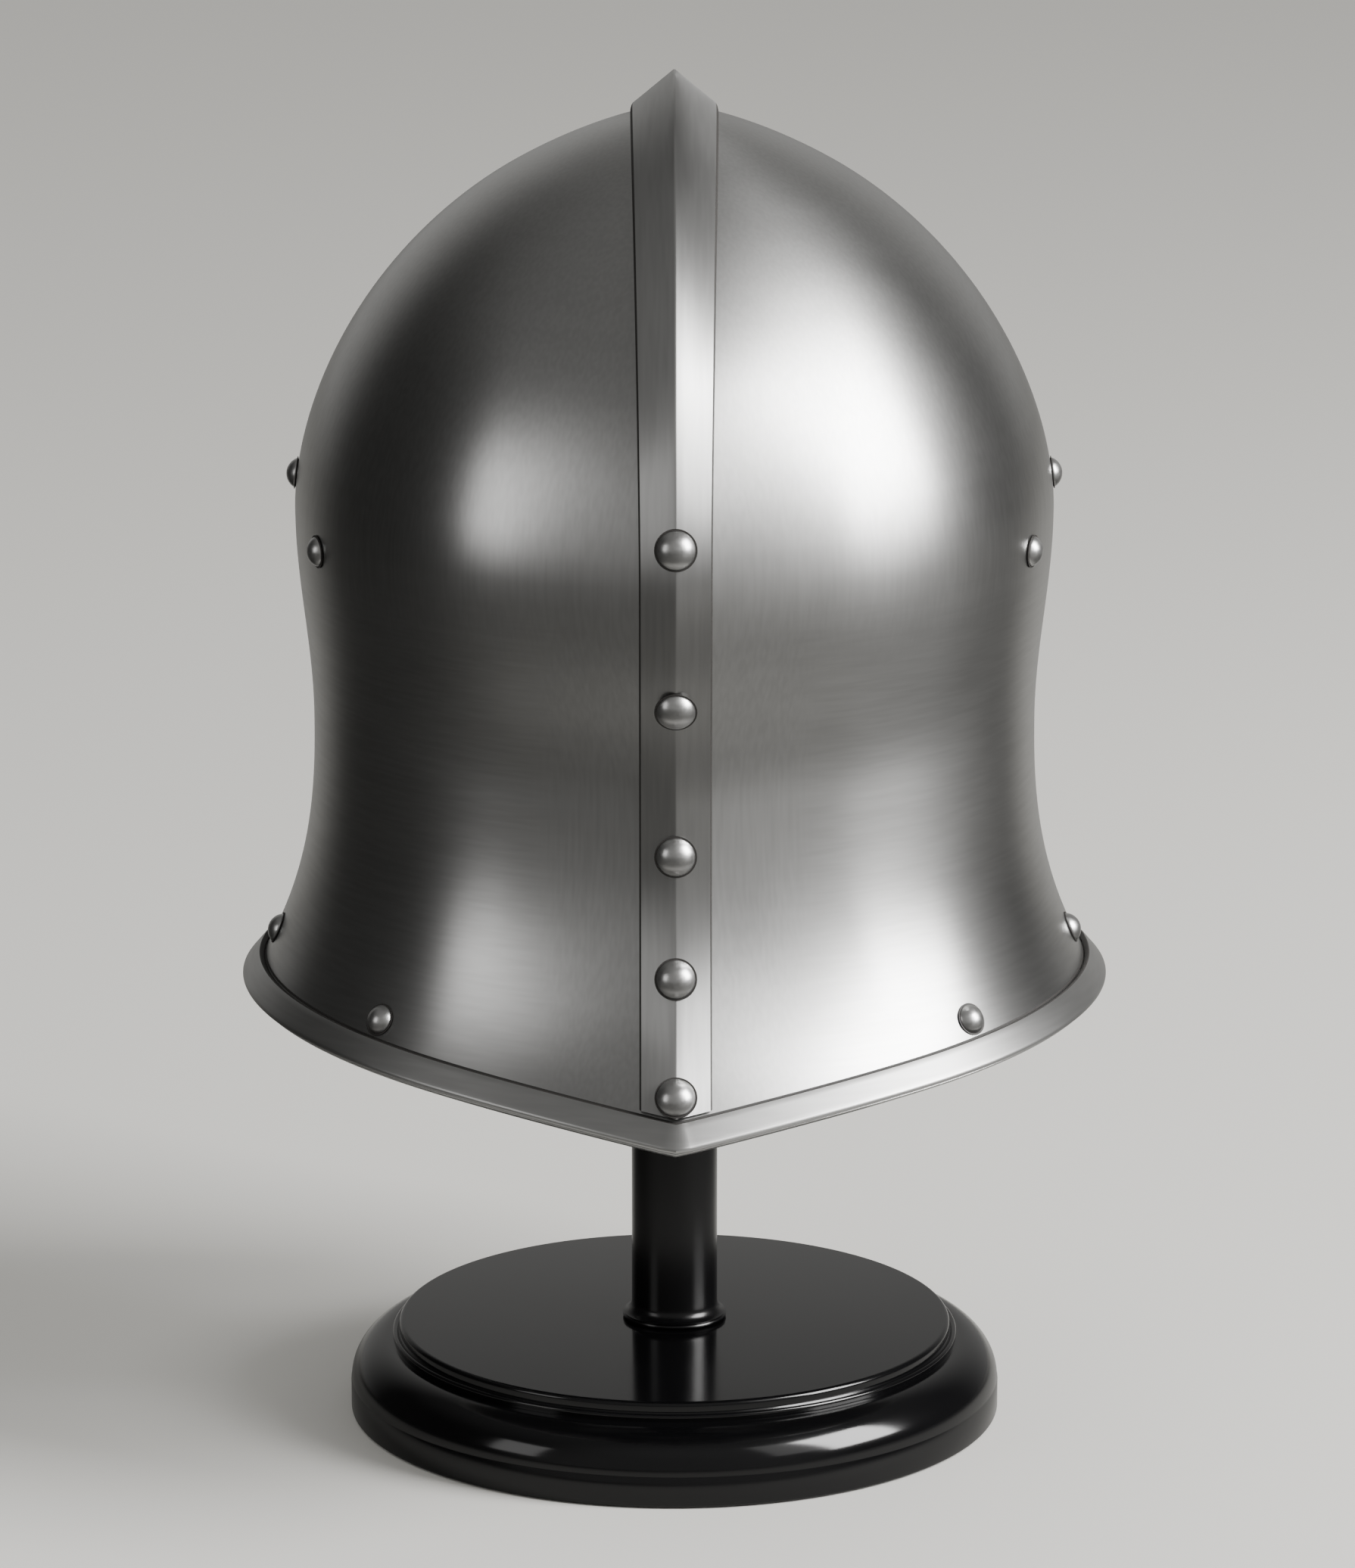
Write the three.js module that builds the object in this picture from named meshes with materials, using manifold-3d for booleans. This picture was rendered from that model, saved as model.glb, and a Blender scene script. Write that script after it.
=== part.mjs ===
// A barbute helmet of brushed steel, resting on a lacquered display stand.
// Millimetres, +Z up. The origin is the centre of the foot's underside, on the post's axis.
// The helmet's back and its pointed tail lie toward -Y, the face opening toward +Y.

import * as THREE from 'three';
import { LoftGeometry } from 'three/addons/geometries/LoftGeometry.js';
import { mergeVertices } from 'three/addons/utils/BufferGeometryUtils.js';
import Module from 'manifold-3d';

const wasm = await Module();
wasm.setup();

// Skull: half-width, reach to the back and reach to the front at its widest level,
// and how far the neck draws in from there
const SKULL_HALF_WIDTH = 110.2;
const SKULL_BACK = 117;
const SKULL_FRONT = 121;
const NECK_DRAWN_IN = { side: 4.9, back: 15.5, front: 4 };
const DOME_HEIGHT = 113;
const DOME_POWER = 1.8;

// Heights of the neck and of the widest level over the fold above the rim
const NECK_OVER_RIM = 71;
const WIDEST_OVER_RIM = 134.9;

// Rim: how far its fold flares out from the neck, and the dip of the tail below the sides
const RIM_FLARED = { side: 15.1, back: 20.5, front: 5 };
const TAIL_DIP = 13.9;
const TAIL_POWER = 1.18;
const FLARE_POWER = 2.5;

// Sheet, and the strip that covers the turned-out lip
const WALL = 1.6;
const LIP_WIDTH = 8.9;
const LIP_SLOPE = THREE.MathUtils.degToRad( 49 );
const STRIP = 1.5;
const GAP = 0.3;

// Medial keel pressed into the skull: its height and how far it spreads to each side
const KEEL = 8;
const KEEL_SPREAD = 45;
const TAIL_KEEL = 13.7;
const TAIL_KEEL_SPREAD = 70;
const FRONT_KEEL = 5;
const CROWN_KEEL = 3;

// Ridge band: width at the nape, more width at the crown, and the extra height of its crest there
const RIDGE_WIDTH = 20.4;
const RIDGE_CROWN_WIDER = 5;
const RIDGE_CROWN_HIGHER = 8.3;
const RIDGE_CROWN_CLEAR = 0.2;
const RIDGE_FRONT_END = THREE.MathUtils.degToRad( 8 );

// Rivets
const RIDGE_RIVET = { head: 6, rise: 3.9 };
const SMALL_RIVET = { head: 4.75, rise: 3.1 };
const SHANK = 2.5;
const SHANK_CLEARANCE = 0.3;
const PEEN = 4;
const PEEN_THICK = 1.4;
const DRILL_LENGTH = 40;

// Rivets over the widest level, and how far behind the side they sit
const CROWN_RIVET_RISE = 13.1;
const BROW_RIVET_RISE = 24.8;
const TEMPLE_UPPER_RISE = 8.5;
const TEMPLE_LOWER_RISE = - 5.3;
const TEMPLE_UPPER = { height: WIDEST_OVER_RIM + TEMPLE_UPPER_RISE, behind: 0 };
const TEMPLE_LOWER = { height: WIDEST_OVER_RIM + TEMPLE_LOWER_RISE, behind: 22 };

// Rivets over the fold at the sides of the rim; the ridge's lower ones keep their shares of its height
const RIDGE_RIVET_SHARES = [ 0.745, 0.4235, 0.172 ];
const TAIL_RIVET_OVER_POINT = 6.9;
const RIM_SIDE = { height: 8.1, behind: 3 };
const RIM_REAR = { height: 1.8, behind: 44.5 };
const RIM_CHEEK = { height: 6.7, behind: - 48 };

// Face opening: the slit between the cheeks and the eyes above it, heights over the fold
const SLIT_HALF_WIDTH = 15;
const SLIT_TOP_HALF_WIDTH = 24;
const SLIT_TOP = 73.7;
const EYE_HALF_WIDTH = 66;
const EYE_CORNER = 101.7;
const EYE_TOP = 133.7;
const FACE_CUT_BELOW = 60;

// Stand
const RIM_OVER_TABLE = 140.5;
const FOOT_RADIUS = 96.5;
const FOOT_EDGE = 9;
const MOULDING_RADIUS = 84;
const MOULDING_TOP = 21.5;
const BEAD = 2.4;
const PLATE_RADIUS = 82;
const PLATE_TOP = 27;
const PLATE_ROUND = 1.5;
const POST_RADIUS = 12.7;
const COLLAR_RADIUS = 15.4;
const COLLAR_HEIGHT = 4.8;
const HEAD_RADIUS = 52;
const HEAD_EDGE = 5;
const HEAD_NECK = 20;
const HEAD_DEPTH = 12;

// Fineness of the facets
const AROUND = 48;
const DOME_ROWS = 10;
const WALL_ROWS = 4;
const NECK_ROWS = 5;
const RIVET_SIDES = 10;

const steel = new THREE.MeshStandardMaterial( { color: 0x8d8f90, metalness: 1, roughness: 0.32 } );
const rivetSteel = new THREE.MeshStandardMaterial( { color: 0x6f7071, metalness: 1, roughness: 0.3 } );
const lacquer = new THREE.MeshStandardMaterial( { color: 0x0b0b0c, metalness: 0, roughness: 0.12 } );
const plainBlack = new THREE.MeshStandardMaterial( { color: 0x151515, metalness: 0, roughness: 0.5 } );

const WIDEST = RIM_OVER_TABLE + WIDEST_OVER_RIM;
const NECK = RIM_OVER_TABLE + NECK_OVER_RIM;
const NECK_HALF_WIDTH = SKULL_HALF_WIDTH - NECK_DRAWN_IN.side;
const NECK_BACK = SKULL_BACK - NECK_DRAWN_IN.back;
const NECK_FRONT = SKULL_FRONT - NECK_DRAWN_IN.front;
const RIM_HALF_WIDTH = NECK_HALF_WIDTH + RIM_FLARED.side;
const RIM_BACK = NECK_BACK + RIM_FLARED.back;
const RIM_FRONT = NECK_FRONT + RIM_FLARED.front;

function toSolid( geometry ) {

	geometry.deleteAttribute( 'normal' );
	geometry.deleteAttribute( 'uv' );
	const merged = mergeVertices( geometry, 1e-4 );
	const index = merged.index.array;
	const triangles = [];

	for ( let i = 0; i < index.length; i += 3 ) {

		const [ a, b, c ] = [ index[ i ], index[ i + 1 ], index[ i + 2 ] ];
		if ( a !== b && b !== c && c !== a ) triangles.push( a, b, c );

	}

	return new wasm.Manifold( new wasm.Mesh( {
		numProp: 3,
		vertProperties: new Float32Array( merged.attributes.position.array ),
		triVerts: new Uint32Array( triangles )
	} ) );

}

function toGeometry( solid ) {

	const mesh = solid.getMesh();
	const geometry = new THREE.BufferGeometry();
	geometry.setAttribute( 'position', new THREE.BufferAttribute( new Float32Array( mesh.vertProperties ), 3 ) );
	geometry.setIndex( new THREE.BufferAttribute( new Uint32Array( mesh.triVerts ), 1 ) );
	return geometry;

}

const mix = ( a, b, t ) => a + ( b - a ) * t;
const ease = ( t ) => ( 1 - Math.cos( Math.PI * t ) ) / 2;

// The levels of the skull, from the fold above the rim (0) past the neck (1) and the widest
// level (2) to the crown (3). Each gives the half-width, the reaches and the keel there.
function level( v, inset ) {

	if ( v <= 1 ) {

		const s = 1 - v;
		const flare = s ** FLARE_POWER;
		return {
			share: s,
			z: NECK,
			half: mix( NECK_HALF_WIDTH, RIM_HALF_WIDTH, flare ) - inset,
			back: mix( NECK_BACK, RIM_BACK, flare ) - inset,
			front: mix( NECK_FRONT, RIM_FRONT, flare ) - inset,
			keel: mix( KEEL, TAIL_KEEL, flare ),
			spread: mix( KEEL_SPREAD, TAIL_KEEL_SPREAD, flare ),
			out: 1,
			up: 0
		};

	}

	if ( v <= 2 ) {

		const t = ease( v - 1 );
		return {
			share: 0,
			z: mix( NECK, WIDEST, v - 1 ),
			half: mix( NECK_HALF_WIDTH, SKULL_HALF_WIDTH, t ) - inset,
			back: mix( NECK_BACK, SKULL_BACK, t ) - inset,
			front: mix( NECK_FRONT, SKULL_FRONT, t ) - inset,
			keel: KEEL,
			spread: KEEL_SPREAD,
			out: 1,
			up: 0
		};

	}

	const angle = ( v - 2 ) * Math.PI / 2;
	const c = Math.cos( angle );
	const s = Math.sin( angle );
	const reach = c ** ( 2 / DOME_POWER );
	const normal = new THREE.Vector2( c ** ( 2 - 2 / DOME_POWER ), s ** ( 2 - 2 / DOME_POWER ) ).normalize();
	return {
		share: 0,
		z: WIDEST + ( DOME_HEIGHT - inset ) * s ** ( 2 / DOME_POWER ),
		half: ( SKULL_HALF_WIDTH - inset ) * reach,
		back: ( SKULL_BACK - inset ) * reach,
		front: ( SKULL_FRONT - inset ) * reach,
		keel: KEEL,
		spread: KEEL_SPREAD,
		out: normal.x,
		up: normal.y
	};

}

// Height of the fold above the rim: level at the sides and front, falling to a point at the back
function foldHeight( angle ) {

	const dip = Math.sin( angle ) < 0 ? ( 1 - Math.abs( Math.cos( angle ) ) ) ** TAIL_POWER : 0;
	return RIM_OVER_TABLE - TAIL_DIP * dip;

}

function keelAt( row, x, behind ) {

	const away = Math.min( 1, Math.abs( x ) / row.spread );
	const full = mix( behind ? row.keel : FRONT_KEEL, CROWN_KEEL, row.up ** 2 );
	return full * ( 1 - away ) ** 2;

}

function skullPoint( v, angle, inset = 0 ) {

	const row = level( v, inset );
	const sine = Math.sin( angle );
	const behind = sine < 0;
	const x = row.half * Math.cos( angle );
	const y = ( behind ? row.back : row.front ) * sine;
	const z = row.share > 0 ? mix( NECK, foldHeight( angle ), row.share ) : row.z;
	const keel = keelAt( row, x, behind );
	return new THREE.Vector3( x, y + sine * keel * row.out, z + keel * row.up );

}

function ring( v, inset = 0 ) {

	const points = [];
	for ( let i = 0; i < AROUND; i ++ ) points.push( skullPoint( v, - Math.PI / 2 + i / AROUND * 2 * Math.PI, inset ) );
	return points;

}

// The crown's highest point, as a ring of no size
function pole( inset ) {

	return new Array( AROUND ).fill( new THREE.Vector3( 0, 0, WIDEST + DOME_HEIGHT - inset + CROWN_KEEL ) );

}

// Moves each point of a ring outward in plan, square to both neighbouring facets, and up
function shifted( points, outward, up ) {

	const count = points.length;
	return points.map( ( point, i ) => {

		const before = points[ ( i + count - 1 ) % count ];
		const after = points[ ( i + 1 ) % count ];
		const n1 = new THREE.Vector2( point.y - before.y, before.x - point.x ).normalize();
		const n2 = new THREE.Vector2( after.y - point.y, point.x - after.x ).normalize();
		const n = n1.clone().add( n2 ).normalize();
		const reach = outward / n.dot( n1 );
		return new THREE.Vector3( point.x + n.x * reach, point.y + n.y * reach, point.z + up );

	} );

}

// A point of the turned-out lip: u runs down the slope from the fold, n stands off it
function lipRing( fold, u, n ) {

	return shifted( fold,
		u * Math.cos( LIP_SLOPE ) + n * Math.sin( LIP_SLOPE ),
		n * Math.cos( LIP_SLOPE ) - u * Math.sin( LIP_SLOPE ) );

}

const levels = [];
for ( let i = 1; i <= DOME_ROWS; i ++ ) levels.push( 3 - i / DOME_ROWS );
for ( let i = 1; i <= WALL_ROWS; i ++ ) levels.push( 2 - i / WALL_ROWS );
for ( let i = 1; i <= NECK_ROWS; i ++ ) levels.push( 1 - i / NECK_ROWS );

const fold = ring( 0 );

// Shell: inner rings from crown to fold, the lip, and the outer rings back up to the crown
const shellRings = [
	pole( WALL ),
	...levels.slice( 0, - 1 ).map( ( v ) => ring( v, WALL ) ),
	lipRing( fold, 0, - WALL ),
	lipRing( fold, LIP_WIDTH, - WALL ),
	lipRing( fold, LIP_WIDTH, 0 ),
	...levels.slice().reverse().map( ( v ) => ring( v ) ),
	pole( 0 )
];

// Rim strip, one closed ring over the lip
const stripStart = GAP;
const stripSections = [
	lipRing( fold, stripStart, GAP ),
	lipRing( fold, stripStart, GAP + STRIP ),
	lipRing( fold, LIP_WIDTH, GAP + STRIP ),
	lipRing( fold, LIP_WIDTH, GAP )
];
const stripStations = [];
for ( let i = 0; i <= AROUND; i ++ ) stripStations.push( stripSections.map( ( points ) => points[ i % AROUND ] ) );

// Ridge band: stations along the crest from the tail over the crown to the brow
function ridgeSection( v, behind ) {

	const row = level( v, 0 );
	const angle = behind ? - Math.PI / 2 : Math.PI / 2;
	const crest = skullPoint( v, angle );
	const side = behind ? - 1 : 1;
	const normal = new THREE.Vector3( 0, side * row.out, row.up );
	const crown = row.up ** 4;
	const half = ( RIDGE_WIDTH + RIDGE_CROWN_WIDER * row.up ** 2 ) / 2;
	const higher = RIDGE_CROWN_HIGHER * crown;
	const edge = surfaceBeside( v, behind, half );
	const rest = GAP + RIDGE_CROWN_CLEAR * crown;
	const at = ( x, foot, lift ) => new THREE.Vector3( x, foot.y, foot.z ).addScaledVector( normal, lift );
	return [
		at( half, edge, rest ),
		at( 0, crest, GAP + higher ),
		at( - half, edge, rest ),
		at( - half, edge, rest + STRIP ),
		at( 0, crest, GAP + higher + STRIP ),
		at( half, edge, rest + STRIP )
	];

}

// The skull's surface beside its crest: on the same level of the wall, and on the dome
// square to the crest line, found by halving steps
function surfaceBeside( v, behind, x ) {

	const row = level( v, 0 );
	const side = behind ? - 1 : 1;
	if ( v <= 2 ) return skullPoint( v, side * Math.acos( x / row.half ) );

	const reach = behind ? row.back : row.front;
	const full = behind ? SKULL_BACK : SKULL_FRONT;
	let near = 0;
	let far = DOME_HEIGHT / 2;

	for ( let i = 0; i < 40; i ++ ) {

		const s = ( near + far ) / 2;
		const y = reach - s * row.out;
		const z = row.z - s * row.up;
		const plan = ( x / SKULL_HALF_WIDTH ) ** 2 + ( Math.max( 0, y ) / full ) ** 2;
		const value = plan ** ( DOME_POWER / 2 ) + ( Math.max( 0, z - WIDEST ) / DOME_HEIGHT ) ** DOME_POWER;
		if ( value > 1 ) near = s;
		else far = s;

	}

	const keel = keelAt( row, x, behind ) - near;
	return new THREE.Vector3( x, side * ( reach + keel * row.out ), row.z + keel * row.up );

}

const ridgeStart = ( ( GAP + STRIP ) * Math.cos( LIP_SLOPE ) + 2 * GAP ) / ( NECK - foldHeight( - Math.PI / 2 ) );
const rearLevels = levels.filter( ( v ) => v > ridgeStart ).reverse();
const frontLevels = levels.filter( ( v ) => ( v - 2 ) * Math.PI / 2 > RIDGE_FRONT_END );
frontLevels.push( 2 + RIDGE_FRONT_END / ( Math.PI / 2 ) );
const ridgeSections = [
	ridgeSection( ridgeStart, true ),
	...rearLevels.map( ( v ) => ridgeSection( v, true ) ),
	ridgeSection( 3, true ),
	...frontLevels.map( ( v ) => ridgeSection( v, false ) )
];

// The place on the ridge's crest at a height over the rim, with the crest's direction there
function crestPlace( heightOverRim, behind ) {

	const z = RIM_OVER_TABLE + heightOverRim;
	const sections = ridgeSections.filter( ( section ) => behind ? section[ 4 ].y < 0 : section[ 4 ].y > 0 );

	for ( let i = 0; i < sections.length - 1; i ++ ) {

		const [ a, b ] = [ sections[ i ][ 4 ], sections[ i + 1 ][ 4 ] ];
		if ( ( a.z - z ) * ( b.z - z ) > 0 ) continue;
		const t = ( z - a.z ) / ( b.z - a.z );
		const along = b.clone().sub( a ).normalize();
		if ( along.z < 0 ) along.negate();
		const out = new THREE.Vector3( 0, behind ? - along.z : along.z, behind ? along.y : - along.y );
		const [ ea, eb ] = [ sections[ i ][ 3 ], sections[ i + 1 ][ 3 ] ];
		const fall = Math.max( a.clone().sub( ea ).dot( out ) / Math.abs( ea.x ), b.clone().sub( eb ).dot( out ) / Math.abs( eb.x ) );
		return { point: a.clone().lerp( b, t ), out, along, fall };

	}

	throw new Error( 'no crest at this height' );

}

// The place on the skull's wall at a height over the rim, an angle behind the side
function wallPlace( place, right ) {

	const side = THREE.MathUtils.degToRad( place.behind );
	const angle = right ? - side : Math.PI + side;
	const z = RIM_OVER_TABLE + place.height;
	let low = 0;
	let high = 2.9;

	for ( let i = 0; i < 40; i ++ ) {

		const v = ( low + high ) / 2;
		if ( skullPoint( v, angle ).z < z ) low = v;
		else high = v;

	}

	const point = skullPoint( low, angle );
	const du = skullPoint( low, angle + 0.02 ).sub( skullPoint( low, angle - 0.02 ) );
	const dv = skullPoint( low + 0.02, angle ).sub( skullPoint( low - 0.02, angle ) );
	return { point, out: du.cross( dv ).normalize(), along: new THREE.Vector3( 0, 0, 1 ) };

}

// A frame with its Z out of the surface and its Y along the given direction
function seat( place ) {

	const x = new THREE.Vector3().crossVectors( place.along, place.out ).normalize();
	const y = new THREE.Vector3().crossVectors( place.out, x );
	return new THREE.Matrix4().makeBasis( x, y, place.out ).setPosition( place.point );

}

function lathe( profile, sides ) {

	return new THREE.LatheGeometry( profile.map( ( [ r, z ] ) => new THREE.Vector2( r, z ) ), sides );

}

// A lathe turned so that its axis is Z
function turned( profile, sides ) {

	return lathe( profile, sides ).rotateX( Math.PI / 2 );

}

function domeProfile( radius, rise, foot ) {

	const ball = ( radius * radius + rise * rise ) / ( 2 * rise );
	const points = [];

	for ( let i = 0; i <= 3; i ++ ) {

		const angle = Math.asin( radius / ball ) * ( 1 - i / 3 );
		points.push( [ ball * Math.sin( angle ), foot + ball * Math.cos( angle ) - ball + rise ] );

	}

	points[ 3 ][ 0 ] = 0;
	return points;

}

function wallRivet( size ) {

	const under = - WALL - 2 * GAP;
	return toSolid( turned( [
		[ 0, under - PEEN_THICK ],
		[ PEEN * 0.7, under - PEEN_THICK ],
		[ PEEN, under - PEEN_THICK * 0.6 ],
		[ PEEN, under ],
		[ SHANK, under ],
		[ SHANK, 1.5 * GAP ],
		[ size.head, 1.5 * GAP ],
		...domeProfile( size.head, size.rise - GAP, 2 * GAP )
	], RIVET_SIDES ) );

}

// A ridge rivet's head is hollowed underneath to sit astride the crest
function ridgeRivet( place, higher ) {

	const size = RIDGE_RIVET;
	const fall = place.fall;
	const skirt = size.head * fall;
	const head = toSolid( turned( [
		[ 0, - skirt ],
		[ size.head, - skirt ],
		...domeProfile( size.head, size.rise, 0 )
	], RIVET_SIDES ) );
	const reach = size.head + 2;
	const roof = new THREE.Shape( [
		new THREE.Vector2( 0, GAP * 1.4 ),
		new THREE.Vector2( - reach, GAP * 1.4 - reach * fall ),
		new THREE.Vector2( - reach, - 4 * reach ),
		new THREE.Vector2( reach, - 4 * reach ),
		new THREE.Vector2( reach, GAP * 1.4 - reach * fall )
	] );
	const wedge = new THREE.ExtrudeGeometry( roof, { depth: 2 * reach, bevelEnabled: false } );
	wedge.translate( 0, 0, - reach ).rotateX( Math.PI / 2 );
	const under = - 2 * STRIP - WALL - 3 * GAP - PEEN * fall - higher;
	const shank = toSolid( turned( [
		[ 0, under - PEEN_THICK ],
		[ PEEN * 0.7, under - PEEN_THICK ],
		[ PEEN, under - PEEN_THICK * 0.6 ],
		[ PEEN, under ],
		[ SHANK, under ],
		[ SHANK, size.rise / 2 ],
		[ 0, size.rise / 2 ]
	], RIVET_SIDES ) );
	return head.subtract( toSolid( wedge ) ).add( shank );

}

function drill( place ) {

	const bit = new THREE.CylinderGeometry( SHANK + SHANK_CLEARANCE, SHANK + SHANK_CLEARANCE, DRILL_LENGTH, RIVET_SIDES );
	return toSolid( bit.rotateX( Math.PI / 2 ).applyMatrix4( seat( place ) ) );

}

// Face opening: one half of its outline, mirrored
function faceOutline() {

	const z = ( over ) => RIM_OVER_TABLE + over;
	const half = new THREE.Path();
	half.moveTo( SLIT_HALF_WIDTH, z( - FACE_CUT_BELOW ) );
	half.lineTo( SLIT_HALF_WIDTH, z( 0 ) );
	half.lineTo( SLIT_TOP_HALF_WIDTH, z( SLIT_TOP ) );
	half.quadraticCurveTo(
		mix( SLIT_TOP_HALF_WIDTH, EYE_HALF_WIDTH, 0.1 ), z( mix( SLIT_TOP, EYE_CORNER, 0.55 ) ),
		mix( SLIT_TOP_HALF_WIDTH, EYE_HALF_WIDTH, 0.6 ), z( mix( SLIT_TOP, EYE_CORNER, 0.65 ) ) );
	half.quadraticCurveTo(
		EYE_HALF_WIDTH, z( mix( SLIT_TOP, EYE_CORNER, 0.75 ) ),
		EYE_HALF_WIDTH, z( EYE_CORNER ) );
	half.quadraticCurveTo(
		EYE_HALF_WIDTH * 0.92, z( mix( EYE_CORNER, EYE_TOP, 0.75 ) ),
		EYE_HALF_WIDTH * 0.5, z( mix( EYE_CORNER, EYE_TOP, 0.88 ) ) );
	half.quadraticCurveTo(
		EYE_HALF_WIDTH * 0.2, z( mix( EYE_CORNER, EYE_TOP, 0.96 ) ),
		0, z( EYE_TOP ) );
	const right = half.getPoints( 6 );
	const left = right.slice( 0, - 1 ).reverse().map( ( p ) => new THREE.Vector2( - p.x, p.y ) );
	return new THREE.Shape( [ ...right, ...left ] );

}

// The block that cuts it runs forward from inside the skull
const faceBlock = new THREE.ExtrudeGeometry( faceOutline(), { depth: 2 * SKULL_FRONT, bevelEnabled: false } );
faceBlock.rotateX( Math.PI / 2 ).translate( 0, 2 * SKULL_FRONT + SKULL_FRONT / 3, 0 );
const faceCut = toSolid( faceBlock );

const model = new THREE.Group();
const helmet = new THREE.Group();
const stand = new THREE.Group();
model.add( helmet, stand );

function place( parent, name, geometry, material ) {

	const mesh = new THREE.Mesh( geometry, material );
	mesh.name = name;
	parent.add( mesh );
	return mesh;

}

// Where every rivet sits
const ridgePlaces = [
	WIDEST_OVER_RIM + CROWN_RIVET_RISE,
	...RIDGE_RIVET_SHARES.map( ( share ) => WIDEST_OVER_RIM * share ),
	TAIL_RIVET_OVER_POINT - TAIL_DIP
].map( ( height ) => crestPlace( height, true ) );
const browPlace = crestPlace( WIDEST_OVER_RIM + BROW_RIVET_RISE, false );
const wallPlaces = {};

for ( const [ name, where ] of Object.entries( {
	temple_rivet_upper: TEMPLE_UPPER,
	temple_rivet_lower: TEMPLE_LOWER,
	rim_rivet_side: RIM_SIDE,
	rim_rivet_rear: RIM_REAR,
	rim_rivet_cheek: RIM_CHEEK
} ) ) {

	wallPlaces[ `${ name }_left` ] = wallPlace( where, false );
	wallPlaces[ `${ name }_right` ] = wallPlace( where, true );

}

const holes = [ ...ridgePlaces, browPlace, ...Object.values( wallPlaces ) ].map( drill );
const cuts = holes.reduce( ( all, hole ) => all.add( hole ), faceCut );

const shell = toSolid( new LoftGeometry( shellRings ) );
place( helmet, 'shell', toGeometry( shell.subtract( cuts ) ), steel );

const strip = toSolid( new LoftGeometry( stripStations ) );
place( helmet, 'rim_band', toGeometry( strip.subtract( faceCut ) ), steel );

const ridge = toSolid( new LoftGeometry( ridgeSections, { capStart: true, capEnd: true } ) );
place( helmet, 'ridge_band', toGeometry( ridge.subtract( cuts ) ), steel );

ridgePlaces.forEach( ( where, i ) => {

	const mesh = place( helmet, `ridge_rivet_${ i + 1 }`, toGeometry( ridgeRivet( where, 0 ) ), rivetSteel );
	mesh.applyMatrix4( seat( where ) );

} );
place( helmet, 'ridge_rivet_brow', toGeometry( ridgeRivet( browPlace, 2 ) ), rivetSteel )
	.applyMatrix4( seat( browPlace ) );

for ( const [ name, where ] of Object.entries( wallPlaces ) ) {

	place( helmet, name, toGeometry( wallRivet( SMALL_RIVET ) ), rivetSteel ).applyMatrix4( seat( where ) );

}

// Foot: a flat edge, a quarter-round moulding, a bead and the raised plate
const footProfile = [ [ 0, 0 ], [ FOOT_RADIUS, 0 ], [ FOOT_RADIUS, FOOT_EDGE ] ];

for ( let i = 1; i <= 5; i ++ ) {

	const angle = i / 5 * Math.PI / 2;
	footProfile.push( [
		mix( MOULDING_RADIUS, FOOT_RADIUS, Math.cos( angle ) ),
		mix( FOOT_EDGE, MOULDING_TOP, Math.sin( angle ) )
	] );

}

footProfile.push(
	[ MOULDING_RADIUS + 0.01, MOULDING_TOP + BEAD ],
	[ PLATE_RADIUS, MOULDING_TOP + BEAD ],
	[ PLATE_RADIUS, PLATE_TOP - PLATE_ROUND ],
	[ PLATE_RADIUS - PLATE_ROUND * 0.3, PLATE_TOP - PLATE_ROUND * 0.3 ],
	[ PLATE_RADIUS - PLATE_ROUND, PLATE_TOP ],
	[ 0, PLATE_TOP ]
);
place( stand, 'stand_foot', turned( footProfile, 48 ), lacquer );

// Head: a plain block whose top follows the inside of the dome, under the crown
const headTop = [];
const innerHalf = SKULL_HALF_WIDTH - WALL;
const headAngle = Math.acos( ( HEAD_RADIUS / innerHalf ) ** ( DOME_POWER / 2 ) );

for ( let i = 0; i <= 6; i ++ ) {

	const angle = mix( headAngle, Math.PI / 2, i / 6 );
	headTop.push( [
		i === 6 ? 0 : innerHalf * Math.cos( angle ) ** ( 2 / DOME_POWER ) - GAP,
		WIDEST + ( DOME_HEIGHT - WALL ) * Math.sin( angle ) ** ( 2 / DOME_POWER ) - 1.5 * GAP
	] );

}

const headEdge = headTop[ 0 ][ 1 ] - HEAD_EDGE;
const headBottom = headEdge - HEAD_DEPTH;
place( stand, 'stand_head', turned( [
	[ 0, headBottom ],
	[ HEAD_NECK, headBottom ],
	[ HEAD_RADIUS - GAP, headEdge ],
	...headTop
], 24 ), plainBlack );

// Post with its flared collar, from the plate to the head
const postFoot = PLATE_TOP + GAP;
place( stand, 'stand_post', turned( [
	[ 0, postFoot ],
	[ COLLAR_RADIUS - 0.6, postFoot ],
	[ COLLAR_RADIUS, postFoot + COLLAR_HEIGHT * 0.15 ],
	[ COLLAR_RADIUS - 0.5, postFoot + COLLAR_HEIGHT * 0.4 ],
	[ mix( POST_RADIUS, COLLAR_RADIUS, 0.35 ), postFoot + COLLAR_HEIGHT * 0.75 ],
	[ POST_RADIUS, postFoot + COLLAR_HEIGHT ],
	[ POST_RADIUS, headBottom - GAP ],
	[ 0, headBottom - GAP ]
], 24 ), lacquer );

export default model;
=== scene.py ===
"""A barbute of brushed steel on its lacquered display stand, seen from behind.

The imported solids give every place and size. Each piece here is the fine surface of
one of them, in metres in the same frame: +Z up, the pointed tail toward -Y.
"""

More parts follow.
